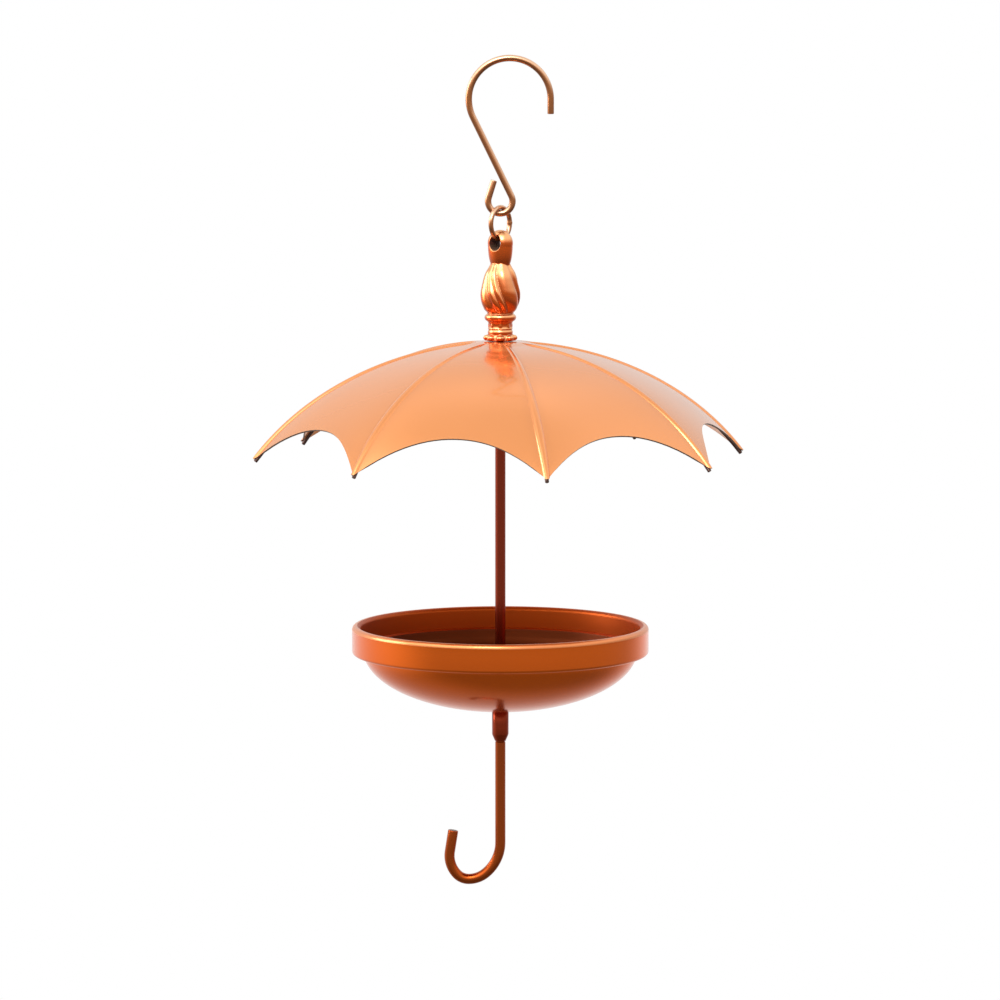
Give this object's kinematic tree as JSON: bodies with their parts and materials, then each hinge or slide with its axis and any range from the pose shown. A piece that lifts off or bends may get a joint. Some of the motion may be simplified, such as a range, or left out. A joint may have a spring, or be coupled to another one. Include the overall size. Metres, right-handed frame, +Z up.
{
  "type": "hanging bird feeder",
  "caption": "Umbrella-shaped bird feeder that hangs on an S hook: a scalloped sheet canopy over a round feed dish, with a J hook under the dish.",
  "frame": {"origin": "the hang point: the inside of the S hook's upper bend, straight above the rod, where the bracket or branch carries it", "axes": "+Z up along the rod, +X towards the free tip of the S hook's upper bend, so the J hook opens towards -X, and -Y towards the viewer"},
  "size_m": [0.2996, 0.2996, 0.5091],
  "materials": {
    "hook_coating": "glossy copper-brown metallic coating on steel wire",
    "cast_coating": "glossy copper-orange metallic coating on a casting",
    "canopy_coating": "pearly pale copper-orange coating on sheet steel",
    "rib_coating": "dark copper-brown coating on steel wire",
    "rod_coating": "glossy dark copper coating on steel rod",
    "dish_coating": "glossy deep copper coating on sheet steel",
    "plated_steel": "plain zinc plate"
  },
  "bodies": {
    "hook": {"s_hook": "hook_coating"},
    "ring": {"hanging_ring": "hook_coating"},
    "feeder": {"finial": "cast_coating", "canopy": "canopy_coating", "rib_wire_1": "rib_coating", "rib_wire_2": "rib_coating", "rib_wire_3": "rib_coating", "rib_wire_4": "rib_coating", "rib_wire_5": "rib_coating", "rib_wire_6": "rib_coating", "rib_wire_7": "rib_coating", "rib_wire_8": "rib_coating", "canopy_washer": "plated_steel", "canopy_nut": "plated_steel", "center_rod": "rod_coating", "dish_nut": "plated_steel", "dish_washer": "plated_steel", "dish": "dish_coating", "coupling_sleeve": "rod_coating", "j_hook": "rod_coating"}
  },
  "joints": [
    {"name": "ring_swing", "type": "hinge", "parent": "hook", "child": "ring", "pos_m": [0, 0, -0.0914], "axis": [1, 0, 0], "range_deg": [-35, 35]},
    {"name": "feeder_swing", "type": "hinge", "parent": "ring", "child": "feeder", "pos_m": [0, 0, -0.107], "axis": [-0.5878, -0.809, 0], "range_deg": [-90, 90]}
  ]
}
